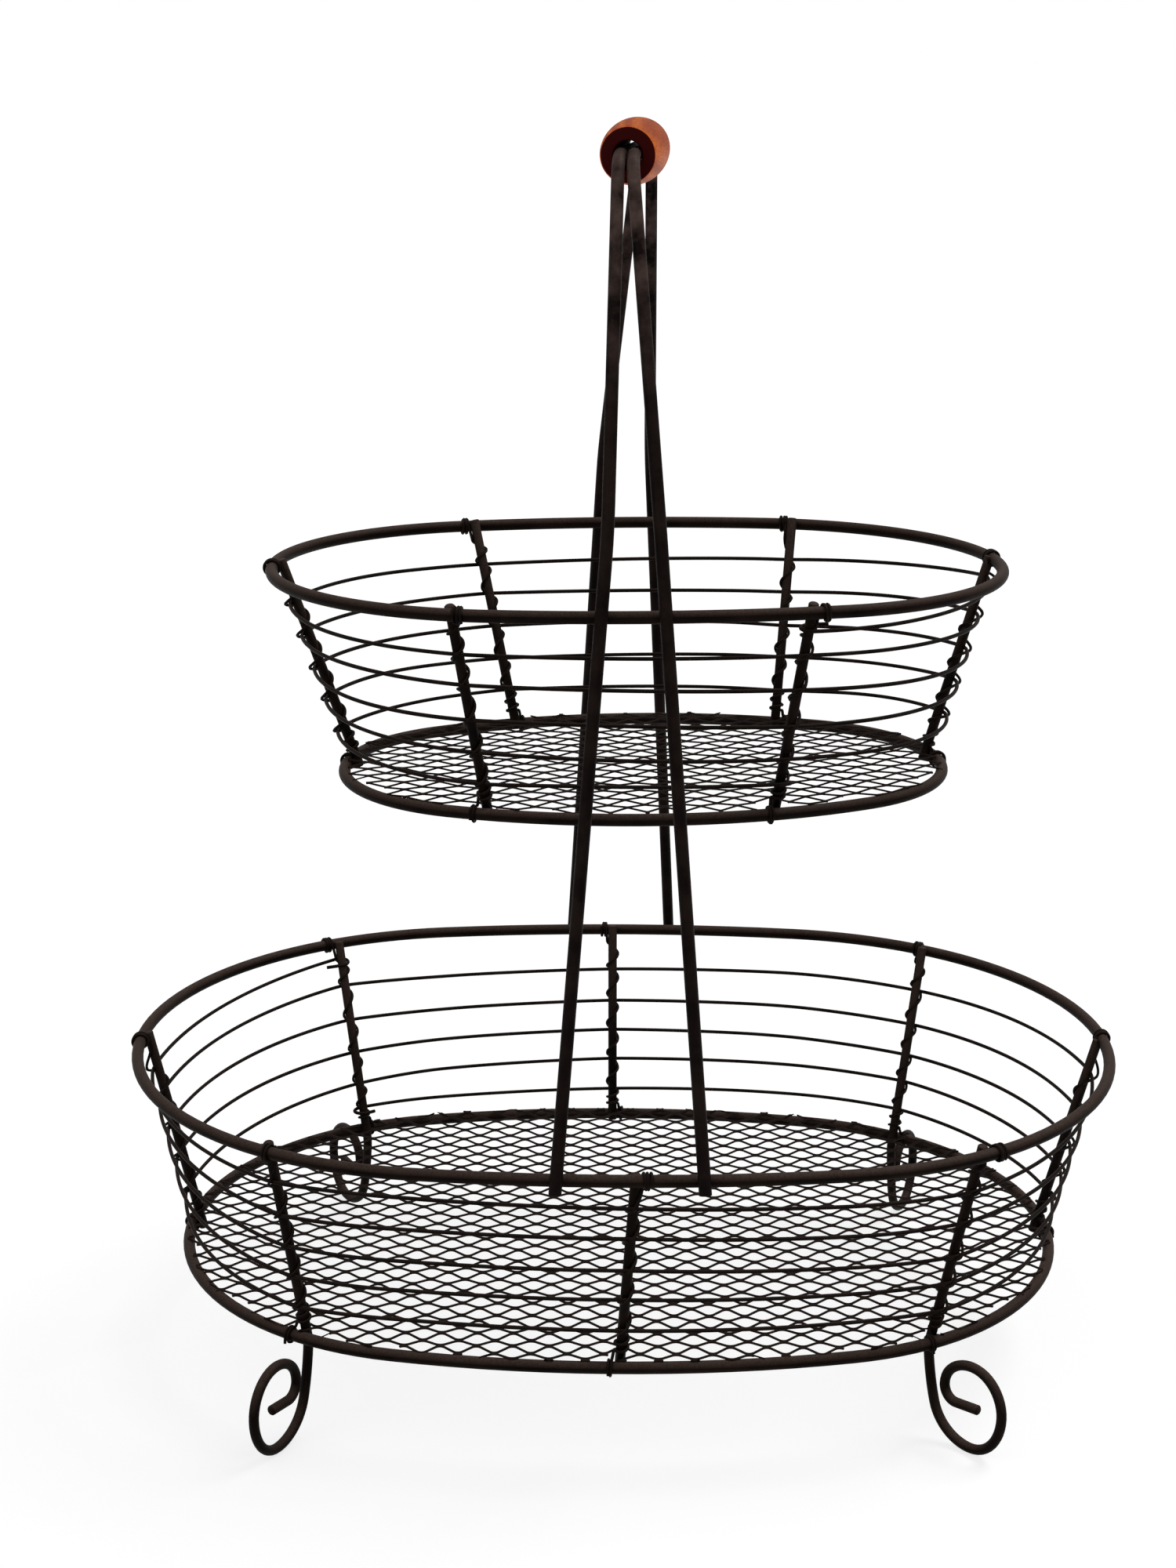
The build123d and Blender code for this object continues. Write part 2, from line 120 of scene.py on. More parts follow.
class Oval:
    """Oval of four arcs, from its half length, half width and end radius."""

    def __init__(self, half_length, half_width, end_radius):
        self.length, self.width, self.end = half_length, half_width, end_radius
        run = half_length - end_radius
        self.side = (run**2 + half_width**2 - end_radius**2) / (2 * (half_width - end_radius))
        self.drop = self.side - half_width
        self.join = asin(self.drop / (self.side - end_radius))

    def point(self, facing):
        along, across = cos(radians(facing)), sin(radians(facing))
        if abs(across) > sin(self.join):
            return Vector((0, -copysign(self.drop, across), 0)) + heading(facing) * self.side
        middle = Vector((copysign(self.length - self.end, along), 0, 0))
        return middle + heading(facing) * self.end

    def holds(self, x, y, margin):
        """Whether a place lies inside the oval grown by a margin."""
        x, y = abs(x), abs(y)
        if sqrt(x**2 + (y + self.drop) ** 2) > self.side + margin:
            return False
        ends = self.length - self.end
        beyond = atan2(y, x - ends) < self.join and x > ends
        return not beyond or sqrt((x - ends) ** 2 + y**2) < self.end + margin


# Scroll feet: the upright plane that each is bent in, then the places along the wire, as
# distance out and down from the base ring and how steeply the wire runs down there, in degrees
FEET = {"back_right": 66, "back_left": 122, "front_left": 240, "front_right": 315}
SCROLL = [
    (-0.6, 7, 84), (3.1, 26.8, 74), (20.5, 40, 0), (35, 22, -90),
    (20.5, 5.7, -180), (7.7, 17.2, -270), (13.6, 23.3, -364), (24.2, 22.6, -364),
]

# Points on each bend between two of these places
BEND_POINTS = 13


class Basket:
    """One tier, with its wall, its ribs and the winding round them."""

    turns = 5

    def __init__(self, name, base, base_z, base_shift, rim, rim_z, shift, turn,
                 ribs, tops, lifts, start, stop, first, tail):
        self.name, self.base, self.base_z, self.base_shift = name, base, base_z, base_shift
        self.rim, self.rim_z, self.shift, self.turn = rim, rim_z, shift, turn
        self.ribs, self.tops, self.lifts = ribs, tops, lifts
        self.start, self.first, self.tail = start, first, tail
        self.pitch = (rim_z - base_z - start - stop) / self.turns
        self.begin = ribs[first][0]

    def out(self, facing):
        return heading(facing + self.turn)

    def share(self, z):
        return (z - self.base_z) / (self.rim_z - self.base_z)

    def wall(self, facing, z, inset=0.0):
        share = self.share(z)
        low = self.base.point(facing) + Vector((self.base_shift, 0, 0))
        spot = low.lerp(self.rim.point(facing), share) - heading(facing) * inset
        spot.rotate(Matrix.Rotation(radians(self.turn), 3, "Z"))
        return spot + Vector((self.shift, 0, z))

    def facing_at(self, rib, z):
        low, high = self.ribs[rib]
        return low + (high - low) * self.share(z)

    def rib_at(self, rib, z):
        low = self.wall(self.ribs[rib][0], self.base_z, RIB_INSET)
        high = self.wall(self.ribs[rib][1], self.rim_z, self.tops[rib][1])
        return low.lerp(high, self.share(z))

    def stand_off(self, rib):
        return END_STAND_OFF if rib in ("left", "right") else 0.0

    def lead(self, facing):
        """How far a facing runs ahead of the place it has, seen from the middle."""
        spot = self.base.point(facing) + self.rim.point(facing)
        return (facing - degrees(atan2(spot.y, spot.x)) + 180) % 360 - 180

    def height(self, travelled):
        """Height of an even spiral that has travelled this far, in degrees, from its start."""
        seen = travelled + self.lead(self.begin - travelled) - self.lead(self.begin)
        return self.base_z + self.start + self.pitch * seen / 360

    def row(self, rib, count):
        """How far the winding has travelled where it passes a rib, and its lift there."""
        low = self.ribs[rib][0]
        travelled = (self.begin - low) % 360 + 360 * count
        travelled += low - self.facing_at(rib, self.height(travelled))
        return travelled, self.lifts[rib][count]


# The ribs say which way each one faces at the base ring and at the rim, in degrees. The tops
# say how far a rib reaches above the middle of the rim, and how far inside it stands. The
# lifts say how far each pass of the winding lies above an even spiral, from the lowest up.
LOWER = Basket(
    "lower",
    base=Oval(181, 123.5, 0.945 * 123.5), base_z=42, base_shift=-1.2,
    rim=Oval(200, 142, 0.97 * 142), rim_z=127, shift=0, turn=0,
    ribs={
        "right": (0, 0), "back_right": (56.1, 55.4), "back": (90.2, 90.3),
        "back_left": (117, 119.9), "left": (180, 180), "front_left": (238.8, 237.4),
        "front": (269.9, 270.3), "front_right": (300.1, 302.1),
    },
    tops={
        "right": (0.8, 2.6), "back_right": (3, 4.75), "back": (3.2, 4.75),
        "back_left": (2.4, 4.75), "left": (2.4, 3.1), "front_left": (1.9, 4.75),
        "front": (0.6, 4.75), "front_right": (2, 4.75),
    },
    lifts={
        "right": (1.5, 0, -1, -1, 2), "back_right": (1.5, 0.5, -1.5, -1.5, 0),
        "back": (2.5, 2.5, 2, 1.5, 2), "back_left": (2.5, -0.5, 0, 1, 3, 1.5),
        "left": (-4.5, -3, -3, -3, -5), "front_left": (-5.5, -5, -5, -5, -4),
        "front": (-0.5, 0, -0.5, 0, -0.5), "front_right": (-1.5, -2.5, -4, -2.5, -2.5),
    },
    start=8, stop=7.5, first="back_left", tail=-1.6,
)
UPPER = Basket(
    "upper",
    base=Oval(120.5, 78, 0.85 * 78), base_z=245, base_shift=3.3,
    rim=Oval(144, 99.5, 0.955 * 99.5), rim_z=327, shift=4.3, turn=5,
    ribs={
        "right": (5, 2), "back_right": (70.9, 72.95), "back_left": (104.3, 99.6),
        "left": (170, 175), "front_left": (249.9, 251.8), "front_right": (282.7, 278.65),
    },
    tops={
        "right": (1.6, 2.2), "back_right": (3.4, 4.75), "back_left": (3.4, 4.75),
        "left": (2.6, 3.9), "front_left": (2.8, 4.75), "front_right": (2.9, 4.75),
    },
    lifts={
        "right": (-1.5, -1, -1, 0, 1.5), "back_right": (-5, -4.5, -5, -4.5, -4.5),
        "back_left": (-1, -1.5, -1.5, -1.5, -3), "left": (0.5, 0.5, 0, 0, -0.5),
        "front_left": (0.5, 0.5, 0.5, 1.5, 0.5), "front_right": (3, 0, 0, 1.5, 2, -2),
    },
    start=9, stop=6, first="front_right", tail=1.3,
)


# Finishes

def linear(code):
    """Linear colour of an sRGB hex value."""
    parts = [int(code[i:i + 2], 16) / 255 for i in (1, 3, 5)]
    return tuple(p / 12.92 if p <= 0.04045 else ((p + 0.055) / 1.055) ** 2.4 for p in parts) + (1,)


def per(size):
    """Texture scale that gives features of a size in millimetres."""
    return 1 / (size * MM)


def add_node(tree, kind, settings=None, feeds=None):
    """Adds a node, sets its properties or free sockets, and links the sockets that are fed."""
    node = tree.nodes.new("ShaderNode" + kind)
    for key, value in (settings or {}).items():
        if isinstance(key, str) and key in node.bl_rna.properties:
            setattr(node, key, value)
        else:
            node.inputs[key].default_value = value
    for key, source in (feeds or {}).items():
        tree.links.new(source, node.inputs[key])
    return node


def new_finish(name):
    finish = bpy.data.materials.new(name)
    finish.use_nodes = True
    tree = finish.node_tree
    tree.nodes.clear()
    return finish, tree, add_node(tree, "TexCoord").outputs["Object"]


def brown_paint(name, deep, worn, dust_and_highlight, patch, speck, relief, rough, painted_highlight=None):
    """Satin paint over steel. Its tone goes from deep to worn in patches, dust and a painted
    highlight lie on what faces up, and specks give it relief. Near the grip it may have a painted
    highlight, paler in patches."""
    finish, tree, place = new_finish(name)
    clouds = add_node(tree, "TexNoise", {"Scale": per(patch), "Detail": 5.0, "Roughness": 0.6},
                      {"Vector": place})
    grit = add_node(tree, "TexNoise", {"Scale": per(speck), "Detail": 4.0, "Roughness": 0.7},
                    {"Vector": place})
    tone = add_node(tree, "MapRange", {"From Min": 0.36, "From Max": 0.66},
                    {"Value": clouds.outputs["Fac"]})
    paint = add_node(tree, "Mix", {"data_type": "RGBA", 6: linear(deep), 7: linear(worn)},
                     {0: tone.outputs["Result"]})
    # Painted highlight high on the handle, paler in patches
    if painted_highlight:
        height = add_node(tree, "SeparateXYZ", None, {0: place})
        highlight_share = add_node(tree, "MapRange",
                        {"From Min": HIGHLIGHT_FROM * MM, "From Max": HIGHLIGHT_FULL * MM},
                        {"Value": height.outputs["Z"]})
        patchy_highlight = add_node(tree, "Math", {"operation": "MULTIPLY"},
                          {0: highlight_share.outputs["Result"], 1: tone.outputs["Result"]})
        paint = add_node(tree, "Mix", {"data_type": "RGBA", 7: linear(painted_highlight)},
                         {0: patchy_highlight.outputs[0], 6: paint.outputs[2]})
    level = add_node(tree, "SeparateXYZ", None,
                     {0: add_node(tree, "NewGeometry").outputs["Normal"]})
    # Pale dust and a painted highlight, in specks, on what faces up
    facing_up = add_node(tree, "MapRange", {"From Min": 0.1, "From Max": 1.0, "To Max": 0.8},
                     {"Value": level.outputs["Z"]})
    dust_and_highlight_specks = add_node(tree, "Math", {"operation": "MULTIPLY"},
                       {0: facing_up.outputs["Result"], 1: grit.outputs["Fac"]})
    colour = add_node(tree, "Mix", {"data_type": "RGBA", 7: linear(dust_and_highlight)},
                      {0: dust_and_highlight_specks.outputs[0], 6: paint.outputs[2]})
    gloss = add_node(tree, "MapRange", {"From Min": 0.3, "From Max": 0.7,
                                        "To Min": rough - 0.07, "To Max": rough + 0.1},
                     {"Value": grit.outputs["Fac"]})
    peel = add_node(tree, "Bump", {"Strength": 0.35, "Distance": relief * MM},
                    {"Height": grit.outputs["Fac"]})
    shader = add_node(tree, "BsdfPrincipled", {"IOR": 1.5, "Specular IOR Level": 0.03},
                      {"Base Color": colour.outputs[2], "Roughness": gloss.outputs["Result"],
                       "Normal": peel.outputs["Normal"]})
    add_node(tree, "OutputMaterial", None, {"Surface": shader.outputs[0]})
    return finish


def stained_wood():
    """Orange-brown stain on turned wood. Growth bands and flecks run along the grip. The cut ends
    are nearly black red, partly from stain soaked into the end grain and partly painted shade, and
    the bore is painted nearly black red as shade. Pores of beech are about 0.1 mm wide, too fine
    to show, so they are drawn 0.55 mm wide."""
    finish, tree, place = new_finish("stained_turned_beech")
    turned = add_node(tree, "Mapping", {"vector_type": "TEXTURE", "Location": GRIP_CENTRE * MM,
                                        "Rotation": (GRIP_TILT, 0, GRIP_TURN)},
                      {"Vector": place})
    drawn = add_node(tree, "Mapping", {"Scale": (1, 0.09, 1), "Location": (0.02, 0, 0.013)},
                     {"Vector": turned.outputs[0]})
    fibre = add_node(tree, "TexNoise", {"Scale": per(0.55), "Detail": 6.0, "Roughness": 0.65},
                     {"Vector": drawn.outputs[0]})
    bands = add_node(tree, "TexWave", {"wave_type": "RINGS", "rings_direction": "Y",
                                       "Scale": per(14), "Distortion": 3.5,
                                       "Detail": 3.0, "Detail Scale": 1.2},
                     {"Vector": drawn.outputs[0]})
    warm = add_node(tree, "Mix",
                    {"data_type": "RGBA", 6: linear("#9e410c"), 7: linear("#c4611c")},
                    {0: bands.outputs["Fac"]})
    fleck = add_node(tree, "MapRange", {"From Min": 0.42, "From Max": 0.7, "To Max": 0.75},
                     {"Value": fibre.outputs["Fac"]})
    side = add_node(tree, "Mix", {"data_type": "RGBA", 7: linear("#7c2f0b")},
                    {0: fleck.outputs["Result"], 6: warm.outputs[2]})
    # Cut ends: nearly black red, partly stain soaked into the end grain and partly painted shade.
    # Round and inside the bore: painted shade.
    face = add_node(tree, "SeparateXYZ", None, {0: turned.outputs[0]})
    reach = add_node(tree, "Math", {"operation": "ABSOLUTE"}, {0: face.outputs["Y"]})
    cut = add_node(tree, "MapRange", {"From Min": (GRIP_HALF - 0.25) * MM,
                                      "From Max": (GRIP_HALF - 0.15) * MM},
                   {"Value": reach.outputs[0]})
    across = add_node(tree, "VectorMath", {"operation": "MULTIPLY", 1: (1, 0, 1)},
                      {0: turned.outputs[0]})
    wide = add_node(tree, "VectorMath", {"operation": "LENGTH"}, {0: across.outputs[0]})
    inside = add_node(tree, "MapRange", {"From Min": (GRIP_BORE + 1.1) * MM,
                                         "From Max": (GRIP_BORE + 0.6) * MM},
                      {"Value": wide.outputs["Value"]})
    dark_end_grain_and_painted_shade = add_node(tree, "Math", {"operation": "MAXIMUM"},
                    {0: cut.outputs["Result"], 1: inside.outputs["Result"]})
    end = add_node(tree, "Mix",
                   {"data_type": "RGBA", 6: linear("#220000"), 7: linear("#370101")},
                   {0: fibre.outputs["Fac"]})
    colour = add_node(tree, "Mix", {"data_type": "RGBA"},
                      {0: dark_end_grain_and_painted_shade.outputs[0], 6: side.outputs[2], 7: end.outputs[2]})
    gloss = add_node(tree, "MapRange", {"To Min": 0.38, "To Max": 0.58},
                     {"Value": fibre.outputs["Fac"]})
    pores = add_node(tree, "Bump", {"Strength": 0.3, "Distance": 0.12 * MM},
                     {"Height": fibre.outputs["Fac"]})
    shader = add_node(tree, "BsdfPrincipled", {"IOR": 1.5, "Specular IOR Level": 0.04},
                      {"Base Color": colour.outputs[2], "Roughness": gloss.outputs["Result"],
                       "Normal": pores.outputs["Normal"]})
    add_node(tree, "OutputMaterial", None, {"Surface": shader.outputs[0]})
    return finish


# Patches, specks and relief are in millimetres. Grit in such paint is about 0.2 mm wide, too
# fine to show, so the specks are drawn 0.5 to 0.9 mm wide.
# Every paint is paler on what faces up, from dust and a painted highlight.

# Dipped paint on drawn steel: nearly black brown with a dull sheen, and greyer on top from dust
# and a painted highlight.
WIRE_PAINT = brown_paint(
    "satin_brown_paint_on_steel_wire", deep="#050201", worn="#150d09", dust_and_highlight="#604f47",
    patch=22, speck=0.9, relief=0.10, rough=0.5)
# The same paint on the handle: a little smoother, with a painted grey-brown highlight high up near
# the grip.
HANDLE_PAINT = brown_paint(
    "handled_brown_paint_on_steel_wire", deep="#070303", worn="#19110e", dust_and_highlight="#3c2f2a",
    patch=14, speck=0.9, relief=0.10, rough=0.46, painted_highlight="#54443f")
# A thin coat on soft iron wire: small specks and less dust and painted highlight, so the turns
# stay dark.
THIN_PAINT = brown_paint(
    "brown_paint_on_binding_wire", deep="#060302", worn="#140d09", dust_and_highlight="#3a2f2a",
    patch=9, speck=0.6, relief=0.06, rough=0.5)
# Paint on slit and stretched sheet: duller, and its tone changes from strand to strand.
NET_PAINT = brown_paint(
    "brown_paint_on_expanded_steel", deep="#070303", worn="#18100c", dust_and_highlight="#382d28",
    patch=12, speck=0.8, relief=0.10, rough=0.55)
# Paint over weld spatter: lumpy, so the beads are broken up by tiny shadows.
BEAD_PAINT = brown_paint(
    "brown_paint_on_weld_beads", deep="#060202", worn="#150d09", dust_and_highlight="#332722",
    patch=4, speck=0.5, relief=0.25, rough=0.55)
# Turned beech: warm bands along the grip, short dark flecks and a soft sheen.
GRIP_WOOD = stained_wood()


def dress(piece, finish):
    piece.data.materials.clear()
    piece.data.materials.append(finish)


def join_pieces(pieces, name):
    """Joins pieces into the first of them, and names it."""
    bpy.ops.object.select_all(action="DESELECT")
    for piece in pieces:
        piece.select_set(True)
    bpy.context.view_layer.objects.active = pieces[0]
    bpy.ops.object.join()
    whole = bpy.context.object
    whole.name = name
    return whole


# Wires

def bend_wire(name, points, radius, rounding, finish=THIN_PAINT, worn=False):
    """Round wire along points in millimetres, with square cut ends, worn or sharp."""
    if worn:
        first = (points[1] - points[0]).normalized() * WORN_LENGTH
        last = (points[-2] - points[-1]).normalized() * WORN_LENGTH
        points = [points[0], points[0] + first, *points[1:-1], points[-1] + last, points[-1]]
    bpy.ops.object.select_all(action="DESELECT")
    bpy.ops.curve.primitive_nurbs_path_add(location=(0, 0, 0))
    wire = bpy.context.object
    wire.name = name
    line = wire.data
    line.splines.clear()
    run = line.splines.new("POLY")
    run.points.add(len(points) - 1)
    run.points.foreach_set("co", [v for p in points for v in (*(p * MM), 1)])
    if worn:
        run.points[0].radius = WORN_SHARE
        run.points[-1].radius = WORN_SHARE
    line.dimensions = "3D"
    line.twist_mode = "MINIMUM"
    line.bevel_depth = radius * MM
    line.bevel_resolution = rounding
    line.use_fill_caps = True
    bpy.ops.object.convert(target="MESH")
    bpy.ops.object.mode_set(mode="EDIT")
    bpy.ops.mesh.select_all(action="SELECT")
    bpy.ops.mesh.remove_doubles(threshold=ONE_POINT * MM)
    bpy.ops.mesh.normals_make_consistent(inside=False)
    bpy.ops.object.mode_set(mode="OBJECT")
    bpy.ops.object.shade_smooth_by_angle(angle=SMOOTH_BEND)
    dress(wire, finish)
    return wire


def even(points, step):
    """The same line with its points a step apart."""
    kept, left = [points[0]], step
    for start, end in zip(points, points[1:]):
        run = (end - start).length
        gone = 0.0
        while run - gone >= left:
            gone += left
            kept.append(start.lerp(end, gone / run))
            left = step
        left -= run - gone
    return kept + [points[-1]]


def eased(points, rounds):
    """Softens the corners of a line, its ends held."""
    for _ in range(rounds):
        middle = [(a + b * 2 + c) / 4 for a, b, c in zip(points, points[1:], points[2:])]
        points = [points[0]] + middle + [points[-1]]
    return points


def upright(basket, rib):
    """Rib that stands inside the wall. The lower corner ribs run on as scroll feet."""
    low, high = basket.rib_at(rib, basket.base_z), basket.rib_at(rib, basket.rim_z)
    lean = (low - high).normalized()
    top = high - lean * basket.tops[rib][0]
    points = [top, low + lean]
    if basket is LOWER and rib in FEET:
        out = heading(FEET[rib])
        stations = [(points[-1], lean)]
        for outward, drop, slope in SCROLL:
            course = out * cos(radians(slope)) - UP * sin(radians(slope))
            stations.append((low + out * outward - UP * drop, course))
        for (a, course_a), (b, course_b) in zip(stations, stations[1:]):
            # With handles of this length the bend is very nearly an arc.
            reach = (b - a).length * 2 / 3 / (1 + cos(course_a.angle(course_b, 0) / 2))
            bend = (a, a + course_a * reach, b - course_b * reach, b)
            points += interpolate_bezier(*bend, BEND_POINTS)[1:]
    wire = bend_wire(f"{basket.name}_upright_{rib}", points, RIB_R, 6, WIRE_PAINT, worn=True)
    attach(wire, "frame")
    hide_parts(f"{basket.name}_rib_{rib}")


def winding(basket):
    """The one thin wire of a wall. It hooks round its first rib, lies a little straighter
    than the oval between ribs, and hooks round the same rib again below the rim."""
    touch = RIB_R + WEAVE_R + HAIR
    turn_step, point_step = 1.5, 3.0
    straighter, waver, fading = 0.16, 0.5, 8
    passes = []
    for rib in basket.ribs:
        passes += [(*basket.row(rib, count), rib) for count in range(len(basket.lifts[rib]))]
    passes.sort(key=lambda p: p[0])

    def at_rib(rib, z):
        stand = touch + basket.stand_off(rib)
        return basket.rib_at(rib, z) + basket.out(basket.facing_at(rib, z)) * stand

    points = []
    for n, ((t0, lift0, rib0), (t1, lift1, rib1)) in enumerate(zip(passes, passes[1:])):
        a = at_rib(rib0, basket.height(t0) + lift0)
        b = at_rib(rib1, basket.height(t1) + lift1)
        steps = max(8, int((t1 - t0) / turn_step))
        for i in range(steps):
            s = i / steps
            travelled = t0 + (t1 - t0) * s
            z = basket.height(travelled) + lift0 + (lift1 - lift0) * s
            wall = basket.wall(basket.begin - travelled, z, RIB_INSET - touch)
            stand = basket.stand_off(rib0) * (1 - s) ** fading + basket.stand_off(rib1) * s**fading
            wall += basket.out(basket.begin - travelled) * stand
            spot = wall.lerp(a.lerp(b, s), straighter)
            spot.z = z + waver * sin(pi * s) * sin(1.7 * n + 0.9)
            points.append(spot)
    first_z = basket.height(passes[0][0]) + passes[0][1]
    last_z = basket.height(passes[-1][0]) + passes[-1][1]
    points.append(at_rib(basket.first, last_z))
    points = eased(even(points, point_step), 2)

    def hook(z, loose, reach, climb, side_sign):
        """From outside the rib, round one side of it, to a short tail inside the wall."""
        rib = basket.first
        axis, out = basket.rib_at(rib, z), basket.out(basket.facing_at(rib, z))
        side = out.cross(UP) * side_sign
        turn = []
        for i in range(1, 13):
            a = pi * i / 12
            spot = axis + out * (touch * cos(a)) + side * ((touch + loose) * sin(a))
            turn.append(spot + UP * (climb * i / 12))
        slant = (out * 0.25 - side).normalized()
        tail = [turn[-1] + slant * (reach * i / 6) + UP * (climb * 0.05 * i) for i in range(1, 7)]
        return turn + tail

    start = hook(first_z, loose=1.4, reach=5.0, climb=-0.9, side_sign=-1)
    end = hook(last_z, loose=0.2, reach=8.0, climb=basket.tail, side_sign=1)
    points = list(reversed(start)) + points + end
    wire = bend_wire(f"{basket.name}_winding", points, WEAVE_R, 3)
    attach(wire, "frame")
    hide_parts(f"{basket.name}_weave_wire")


def binding(basket, rib, number):
    """Fine wire that is looped on the rim beside a rib, spirals down the rib over each pass
    of the winding, and ends in level turns, a turn round the base ring and a short tail.
    Its number makes it waver a little otherwise than the rest."""
    low, high = basket.rib_at(rib, basket.base_z), basket.rib_at(rib, basket.rim_z)
    rise = (high - low).normalized()
    mean = basket.out(sum(basket.ribs[rib]) / 2)
    out = (mean - rise * mean.dot(rise)).normalized()
    along = rise.cross(out)
    near = RIB_R + BINDING_R - ON_RIB
    far = RIB_R + 2 * WEAVE_R + BINDING_R - ON_WINDING + basket.stand_off(rib)

    # Turns are counted from the topmost pass down. The rib leans out, so the middle of a turn
    # lies a little higher than the pass of the winding that it goes over.
    passes = [basket.row(rib, count) for count in range(basket.turns)]
    rows = [basket.height(travelled) + lift - out.z * PASS_OUT for travelled, lift in passes]
    top = basket.rim_z - FIRST_TURN
    foot = basket.base_z + LAST_TURN
    over = 1.25 if top - rows[-1] > 0.7 * basket.pitch else 0.25
    under = 1.25 if rows[0] - foot < 6 else 2.25
    lowest = basket.turns - 1

    def z_at(turns):
        if turns < 0:
            return rows[-1] + (top - rows[-1]) * (-turns / over)
        if turns > lowest:
            # The level turns crowd together towards the foot.
            done = (turns - lowest) / under
            return foot + (rows[0] - foot) * (1 - done) ** 1.6
        step = min(int(turns), lowest - 1)
        upper, lower = rows[-1 - step], rows[-2 - step]
        return upper + (lower - upper) * (turns - step)

    def helix(turns):
        # A turn swells over each pass of the winding, and hugs the rib between, where it also
        # drifts up and down a little.
        phase = 2 * pi * turns
        passing = max(0, cos(phase)) ** 1.5 if -0.6 < turns < lowest + 0.3 else 0
        reach = near + (far - near) * passing
        drift = 0.45 * sin(2.3 * turns + 1.9 * number) + 0.25 * sin(5.1 * turns + number)
        drift *= 1 - passing
        if turns > lowest + 0.7:
            drift *= 0.3
        centre = basket.rib_at(rib, z_at(turns) + drift)
        beside = near + 0.03 + 0.05 * sin(3.1 * turns + 2 * number)
        return centre + out * (reach * cos(phase)) - along * (beside * sin(phase))

    # Loops on the rim
    rim_out = basket.out(basket.ribs[rib][1])
    rim_along = UP.cross(rim_out)
    on_rim = basket.wall(basket.ribs[rib][1], basket.rim_z)
    hold = RING_R + BINDING_R + HAIR
    beside_rib, loop_spacing = 2.5, 1.22
    loops = 2.4 + 0.3 * sin(2.1 * number)
    points = []
    for i in range(int(loops * TURN_POINTS) + 1):
        back = loops - i / TURN_POINTS
        phase = 2 * pi * -back
        run = rim_along * (beside_rib + loop_spacing * back + 0.2 * sin(4 * back + number))
        points.append(on_rim + run - rim_out * (hold * cos(phase)) - UP * (hold * sin(phase)))

    # Down the rib
    turns = over + lowest + under
    count = int(turns * TURN_POINTS)
    points += [helix(-over + turns * i / count) for i in range(count + 1)]

    # Round the base ring, and the tail
    beside_foot, turn_spacing, tail_step, point_step = 3.1, 1.16, 1.2, 0.55
    ring_out = basket.out(basket.ribs[rib][0])
    ring_along = UP.cross(ring_out)
    on_ring = basket.wall(basket.ribs[rib][0], basket.base_z) - ring_along * beside_foot
    last = 1.3 + 0.04 * sin(3.3 * number)
    for i in range(int(TURN_POINTS * last) + 1):
        phase = radians(-35) + 2 * pi * i / TURN_POINTS
        beside = ring_along * (turn_spacing * i / TURN_POINTS)
        points.append(on_ring - beside + UP * (hold * cos(phase)) + ring_out * (hold * sin(phase)))
    points += [points[-1] - UP * (tail_step * i) + ring_out * (0.1 * i) for i in (1, 2, 3)]
    points = eased(even(points, point_step), 2)
    wire = bend_wire(f"{basket.name}_binding_{rib}", points, BINDING_R, 1)
    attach(wire, "frame")
    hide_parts(f"{basket.name}_tie_{rib}")


# Floors of expanded metal

def select_where(piece, rule):
    """Selects the vertices of a piece, in edit mode, whose places meet a rule."""
    bpy.ops.mesh.select_all(action="DESELECT")
    bpy.ops.object.mode_set(mode="OBJECT")
    for vertex in piece.data.vertices:
        vertex.select = rule(vertex.co / MM)
    bpy.ops.object.mode_set(mode="EDIT")


